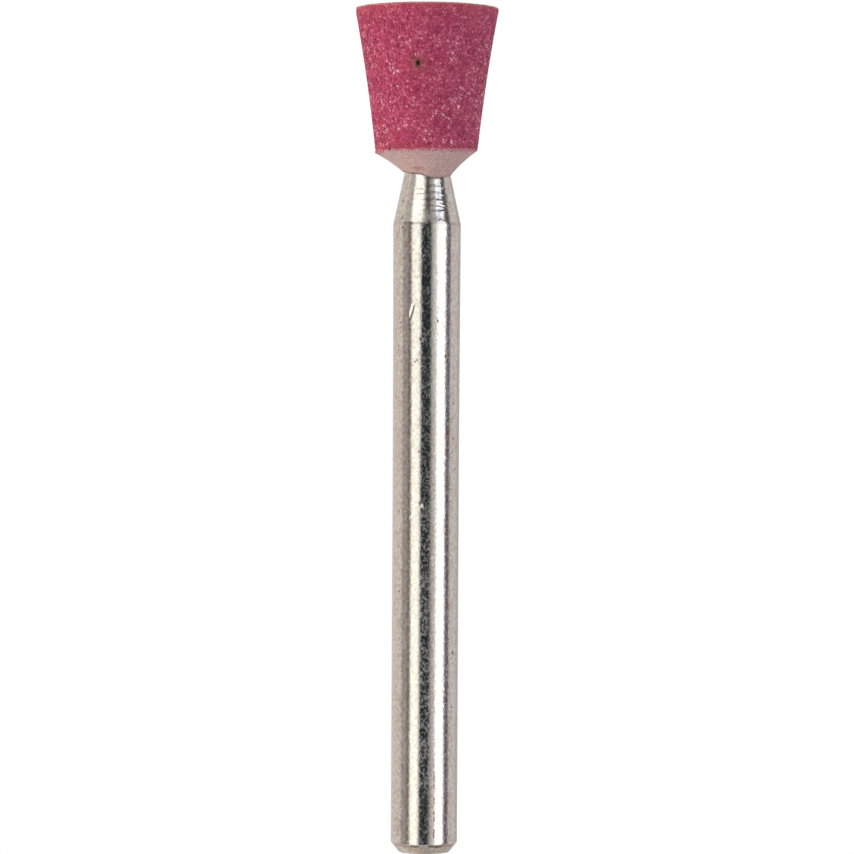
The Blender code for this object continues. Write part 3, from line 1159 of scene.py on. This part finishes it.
def grain_material():
    """The grains: pink alumina crystals, here and there one that is clear and nearly white, and a painted
    glint too.
    """
    material, place = new_material("pink_grain")
    tree = place.tree
    tint = make(tree, "ShaderNodeAttribute", {"attribute_name": "tint"}, None, out=2)
    fine = grain_noise(place, 20.0, detail=2)
    x, _, z = apart(place)
    # Darker towards the face and lighter away from it; and painted light: a little lighter on the +X side,
    # where the key lamp stands
    lower = spread(z, 1.8, 4.2, -0.035, 0.02) + spread(x, 0.9, 2.3) * spread(z, 2.6, 4.5, 0.0, 0.05)
    patches = grain_noise(place, 1.6, detail=2, stretch=(0.9, 0.9, 2.8), shift=(2, 5, 1)) + lower
    share = (tint * 0.85 + fine * 0.14 + spread(patches, 0.50, 0.64) * 0.19 - 0.075).least(0.97)
    # Nearly white grains, and painted glints: more of them on the -X side and further from the face, where
    # the light glints
    clear = spread(tint, 0.984, 0.989) * spread(x, 1.2, -0.6, 0.4, 1.0) * spread(z, 1.2, 3.2, 0.35, 1.0)
    finish_material(
        tree,
        Base_Color=pink_tone(place, share.most(clear)),
        Roughness=spread(tint, 0.85, 1.0, 0.6, 0.25),
        Normal=bumped(fine, 0.01),
        Specular_IOR_Level=0.45,
        Sheen_Weight=0.08,
    )
    return material


# Studio


WALL_RADIUS = 0.35
WALL_POINTS = 128
LID_POINTS = 64
WALL_TOP = 0.30
WALL_SPLIT = -0.10
WALL_LOW_SPLIT = -0.178
WALL_FOOT = -0.31
FLOOR_HALF_WIDTH = 3.0
FLOOR_DROP = 0.02 * MM
LAMP_AIM = (0, 0, 0.01)


def turn_ramp(place, stops):
    """A ramp over the turn round the object, for stops of (degrees, strength or colour)."""
    x, y, _ = apart(place)
    turn = x.math("ARCTAN2", x * -1.0, y * -1.0)
    return ramp(turn / (2 * math.pi) + 0.5, *[((degrees + 180) / 360, glow) for degrees, glow in stops])


def wall_material(name, stops):
    """A lit wall round the object, its brightness set by the turn."""
    material, place = new_material(name)
    tree = place.tree
    sockets = {"Color": turn_ramp(place, stops), "Strength": WALL_STRENGTH}
    glow = make(tree, "ShaderNodeEmission", None, sockets)
    make(tree, "ShaderNodeOutputMaterial", None, {"Surface": glow})
    return material


def stage_mesh(name, mesh, material):
    """A floor or wall of the studio, which isn't part of the object."""
    made = add_mesh(name, mesh, material)
    return made


def make_wall(name, stops, *rings):
    """A part of the studio's wall, lid or pit between (radius, height, count) rings, seen by gloss alone."""
    mesh = bmesh.new()
    turned(mesh, rings)
    wall = stage_mesh(name, mesh, wall_material(name, stops))
    for rays in ("camera", "diffuse", "shadow", "transmission", "volume_scatter"):
        setattr(wall, "visible_" + rays, False)


WARM_PANEL = (0.735, 0.795, 0.77)
COOL_PANEL = (0.66, 0.73, 0.86)
PALE_PANEL = (0.86, 0.95, 0.96)
WHITE_PANEL = (0.91, 1.0, 1.09)
WARM_SIDE = (0.413, 0.402, 0.39)
COOL_SIDE = (0.38, 0.375, 0.39)
DARK_ROOM = (0.011, 0.017, 0.021)
DARK_STRIP = (0.083, 0.078, 0.102)
SHANK_WALL = [
    # turn in degrees, brightness as a share of the strength
    (-180, 0.24), (-150, 0.36), (-120, WARM_SIDE), (-93, WARM_SIDE), (-86, (0.236, 0.231, 0.240)),
    (-68, (0.213, 0.208, 0.217)), (-64, (0.13, 0.10, 0.09)), (-56, (0.14, 0.12, 0.11)), (-48.5, WARM_PANEL),
    (-26, WARM_PANEL), (-20.5, 0.40), (-16, DARK_ROOM), (12, DARK_ROOM), (17, 0.15), (24, 0.32), (34, 0.43),
    (39.2, WHITE_PANEL), (66, WHITE_PANEL), (70, 0.35), (74, DARK_STRIP), (86, DARK_STRIP), (93, COOL_SIDE),
    (128, COOL_SIDE), (140, 0.27), (180, 0.22),
]
NECK_WALL = [
    (-180, 0.3), (-97, 0.42), (-86, 0.34), (-70, 0.28), (-64, 0.34), (-59, 0.5), (-55, PALE_PANEL),
    (-18.5, PALE_PANEL), (-11, 0.46), (-4, 0.20), (0, 0.06), (7, 0.06), (12, 0.14), (24, 0.25),
    (33, 0.31), (39, COOL_PANEL), (63, COOL_PANEL), (68, 0.15), (72, 0.055), (84, 0.055), (91, 0.26),
    (98, 0.38), (125, 0.37), (134, 0.25), (180, 0.2),
]
LOW_WALL = [
    (-180, 0.3), (-62, 0.36), (-57, 0.4), (-53, (0.50, 0.48, 0.40)), (-22, (0.46, 0.43, 0.35)), (-15, 0.3),
    (-5, 0.10), (0, 0.04), (8, 0.04), (14, 0.10), (36, 0.12), (42, 0.07), (62, 0.06), (68, 0.03), (80, 0.05),
    (90, 0.33), (125, 0.36), (180, 0.2),
]
CEILING = [
    (-180, 0.38), (-140, 0.43), (-100, 0.38), (-60, 0.35), (0, 0.27), (30, 0.24), (60, 0.27), (100, 0.31),
    (150, 0.33), (180, 0.38),
]
PIT = [
    (-180, 0.30), (-68, 0.34), (-56, 0.26), (-48, 0.46), (-26, 0.46), (-14, 0.13), (14, 0.12), (36, 0.34),
    (64, 0.38), (74, 0.18), (92, 0.31), (180, 0.30),
]
WALL_STRENGTH = 2.5


def make_studio():
    """Walls for the steel to reflect, a pale floor, a white world and two soft lamps."""
    for name, stops, low, high in (
        ("shank_wall", SHANK_WALL, WALL_SPLIT, WALL_TOP),
        ("neck_wall", NECK_WALL, WALL_LOW_SPLIT, WALL_SPLIT),
        ("low_wall", LOW_WALL, WALL_FOOT, WALL_LOW_SPLIT),
    ):
        make_wall(name, stops, (WALL_RADIUS, low, WALL_POINTS), (WALL_RADIUS, high, WALL_POINTS))
    for name, stops, height in (("ceiling", CEILING, WALL_TOP), ("pit", PIT, WALL_FOOT)):
        make_wall(name, stops, (WALL_RADIUS, height, LID_POINTS), (0, height, 1))
    mesh = bmesh.new()
    level = Matrix.Translation((0, 0, -FLOOR_DROP))
    bmesh.ops.create_grid(mesh, x_segments=1, y_segments=1, size=FLOOR_HALF_WIDTH, matrix=level)
    floor = stage_mesh("floor", mesh, floor_material())
    floor.visible_glossy = False
    make_world()
    make_lamp("key_lamp", (0.44, -0.15, 0.10), 0.32, 1.46, (1.0, 0.95, 0.83))
    make_lamp("fill_lamp", (-0.32, -0.30, 0.05), 0.26, 0.30, (0.62, 0.80, 1.0))


def plain_rays(tree):
    """1 for rays from the camera and for those that gloss and glass send on, else 0."""
    path = tree.nodes.new("ShaderNodeLightPath").outputs
    seen = Value(tree, path["Is Camera Ray"]) + Value(tree, path["Is Glossy Ray"])
    return (seen + Value(tree, path["Is Transmission Ray"])).least(1.0)


def floor_material():
    """White to the camera but for a trace of shadow, and a pale matt floor to all else."""
    material, place = new_material("pale_floor")
    tree = place.tree
    faint = make(tree, "ShaderNodeBsdfDiffuse", None, {"Color": (0.16, 0.16, 0.16, 1)})
    glow = make(tree, "ShaderNodeEmission", None, {"Strength": 0.92})
    seen = make(tree, "ShaderNodeAddShader", None, {0: faint, 1: glow})
    matt = make(tree, "ShaderNodeBsdfDiffuse", None, {"Color": (0.8, 0.8, 0.8, 1)})
    both = make(tree, "ShaderNodeMixShader", None, {0: plain_rays(tree), 1: matt, 2: seen})
    make(tree, "ShaderNodeOutputMaterial", None, {"Surface": both})
    return material


def make_world():
    """White where it is seen, and dimmer as light on matt surfaces."""
    world = bpy.data.worlds.new("studio")
    bpy.context.scene.world = world
    world.use_nodes = True
    tree = world.node_tree
    tree.nodes.clear()
    strength = plain_rays(tree) * 0.33 + 0.67
    glow = make(tree, "ShaderNodeBackground", None, {"Color": (1, 1, 1, 1), "Strength": strength})
    make(tree, "ShaderNodeOutputWorld", None, {"Surface": glow})


def make_lamp(name, place, size, power, color):
    """A soft square lamp turned to the head, which gloss doesn't show."""
    lamp = bpy.data.lights.new(name, "AREA")
    lamp.shape = "SQUARE"
    lamp.size = size
    lamp.energy = power
    lamp.color = color
    made = add_object(name, lamp)
    made.location = place
    made.rotation_euler = (Vector(LAMP_AIM) - made.location).to_track_quat("-Z", "Y").to_euler()
    made.visible_glossy = False


# Camera


PHOTO_SIDE = 854
FOCAL_PIXELS = 3756
PIXELS_PER_METRE = 20900
CAMERA_BACK = 0.180
CAMERA_HEIGHT = 18.1 * MM
AIM_HEIGHT = 20.022 * MM
AXIS_COLUMN = 426.0
LEAN_DEGREES = 0.30


def make_camera():
    """The photograph's camera, rolled half a turn, and a little more for the lean of the point in it."""
    aside = (PHOTO_SIDE / 2 - AXIS_COLUMN) / PIXELS_PER_METRE
    place = Vector((-aside, -CAMERA_BACK, CAMERA_HEIGHT))
    ahead = (Vector((-aside, 0, AIM_HEIGHT)) - place).normalized()
    right = Vector((-1, 0, 0))
    up = ahead.cross(right) * -1
    level = Matrix((right, up, -ahead)).transposed()
    roll = Matrix.Rotation(math.radians(LEAN_DEGREES), 3, "Z")
    data = bpy.data.cameras.new("camera")
    data.sensor_width = 36
    data.lens = FOCAL_PIXELS * data.sensor_width / PHOTO_SIDE
    data.clip_start = 0.01
    camera = add_object("camera", data)
    camera.matrix_world = Matrix.Translation(place) @ (level @ roll).to_4x4()
    bpy.context.scene.camera = camera


make_camera()
make_shank(steel_material())
make_cement(cement_material())
make_stone(stone_material(), grain_material())
make_studio()
bpy.context.scene.view_settings.view_transform = "Standard"
